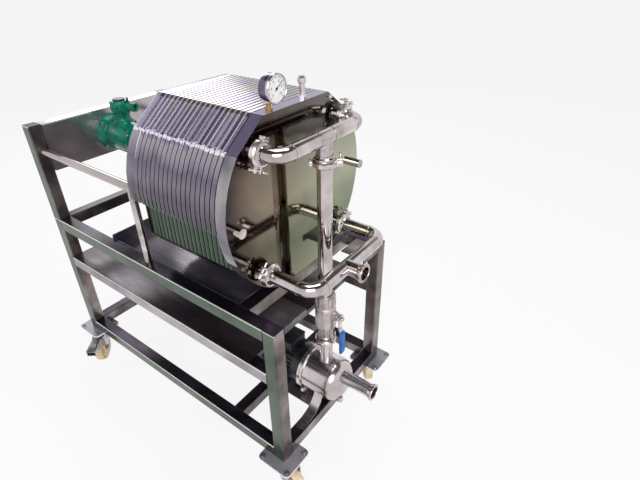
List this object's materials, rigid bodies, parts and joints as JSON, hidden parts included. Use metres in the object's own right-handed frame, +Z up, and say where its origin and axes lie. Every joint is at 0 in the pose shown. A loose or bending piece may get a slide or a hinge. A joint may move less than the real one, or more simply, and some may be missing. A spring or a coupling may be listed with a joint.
{
  "type": "plate filter press",
  "caption": "Plate and frame filter press on a castor trolley, closed by a screw jack, with its feed pump, pipe manifolds, gauge and drip trays.",
  "frame": {"origin": "on the floor under the middle of the machine's bounding box", "axes": "+X runs from the jack end to the manifold and pump end, +Y across the trolley from its left side to its right, +Z up"},
  "size_m": [1.1534, 0.6894, 1.1665],
  "materials": {
    "brushed_stainless": "brushed",
    "polished_stainless": "polished",
    "green_enamel": "glossy enamel",
    "black_paint": "satin",
    "gauge_case": "polished, with a white dial",
    "zinc_plate": "bright zinc",
    "ivory_nylon": "satin"
  },
  "bodies": {
    "trolley": {"air_vent": "polished_stainless", "bottom_rail_left": "brushed_stainless", "bottom_rail_right": "brushed_stainless", "filter_plates": "brushed_stainless", "fixed_head": "polished_stainless", "front_bottom_cross": "brushed_stainless", "front_gusset_left": "brushed_stainless", "front_gusset_right": "brushed_stainless", "front_leg_left": "brushed_stainless", "front_leg_right": "brushed_stainless", "guide_rod_left": "polished_stainless", "guide_rod_right": "polished_stainless", "head_cross_tube": "brushed_stainless", "jack_body": "green_enamel", "lower_manifold": "polished_stainless", "lower_tray": "brushed_stainless", "middle_rail_left": "brushed_stainless", "middle_rail_right": "brushed_stainless", "press_beam": "brushed_stainless", "pressure_gauge": "gauge_case", "pump_base": "brushed_stainless", "pump_cross": "brushed_stainless", "pump_housing": "polished_stainless", "pump_motor": "black_paint", "rear_bottom_cross": "brushed_stainless", "rear_post_left": "brushed_stainless", "rear_post_right": "brushed_stainless", "rear_upper_cross": "brushed_stainless", "riser": "polished_stainless", "upper_drip_tray": "brushed_stainless", "upper_manifold": "polished_stainless", "upper_rail_left": "brushed_stainless", "upper_rail_right": "brushed_stainless", "valve_body": "brushed_stainless"},
    "closing_head": {"movable_head": "brushed_stainless", "jack_screw": "polished_stainless"},
    "jack_handle_head": {"jack_ratchet": "green_enamel"},
    "valve_handle": {"valve_lever": "brushed_stainless"},
    "fork_rear_left": {"castor_fork_rear_left": "zinc_plate"},
    "wheel_rear_left": {"castor_wheel_rear_left": "ivory_nylon"},
    "fork_rear_right": {"castor_fork_rear_right": "zinc_plate"},
    "wheel_rear_right": {"castor_wheel_rear_right": "ivory_nylon"},
    "fork_front_left": {"castor_fork_front_left": "zinc_plate"},
    "wheel_front_left": {"castor_wheel_front_left": "ivory_nylon"},
    "fork_front_right": {"castor_fork_front_right": "zinc_plate"},
    "wheel_front_right": {"castor_wheel_front_right": "ivory_nylon"}
  },
  "joints": [
    {"name": "head_slide", "type": "slide", "parent": "trolley", "child": "closing_head", "axis": [-1, 0, 0], "range_m": [0, 0.12]},
    {"name": "ratchet_turn", "type": "hinge", "parent": "trolley", "child": "jack_handle_head", "pos_m": [-0.4117, 0, 0.935], "axis": [0, 0, 1], "continuous": true},
    {"name": "valve_turn", "type": "hinge", "parent": "trolley", "child": "valve_handle", "pos_m": [0.4533, 0, 0.497], "axis": [1, 0, 0], "range_deg": [0, 90]},
    {"name": "swivel_rear_left", "type": "hinge", "parent": "trolley", "child": "fork_rear_left", "pos_m": [-0.5197, -0.238, 0.13], "axis": [0, 0, 1], "continuous": true},
    {"name": "spin_rear_left", "type": "hinge", "parent": "fork_rear_left", "child": "wheel_rear_left", "pos_m": [-0.4972, -0.26481, 0.05], "axis": [0.766, 0.6428, 0], "continuous": true},
    {"name": "swivel_rear_right", "type": "hinge", "parent": "trolley", "child": "fork_rear_right", "pos_m": [-0.5197, 0.238, 0.13], "axis": [0, 0, 1], "continuous": true},
    {"name": "spin_rear_right", "type": "hinge", "parent": "fork_rear_right", "child": "wheel_rear_right", "pos_m": [-0.4972, 0.26481, 0.05], "axis": [-0.766, 0.6428, 0], "continuous": true},
    {"name": "swivel_front_left", "type": "hinge", "parent": "trolley", "child": "fork_front_left", "pos_m": [0.4243, -0.238, 0.13], "axis": [0, 0, 1], "continuous": true},
    {"name": "spin_front_left", "type": "hinge", "parent": "fork_front_left", "child": "wheel_front_left", "pos_m": [0.45877, -0.24408, 0.05], "axis": [0.1736, 0.9848, 0], "continuous": true},
    {"name": "swivel_front_right", "type": "hinge", "parent": "trolley", "child": "fork_front_right", "pos_m": [0.4243, 0.238, 0.13], "axis": [0, 0, 1], "continuous": true},
    {"name": "spin_front_right", "type": "hinge", "parent": "fork_front_right", "child": "wheel_front_right", "pos_m": [0.4018, 0.26481, 0.05], "axis": [-0.766, -0.6428, 0], "continuous": true}
  ]
}
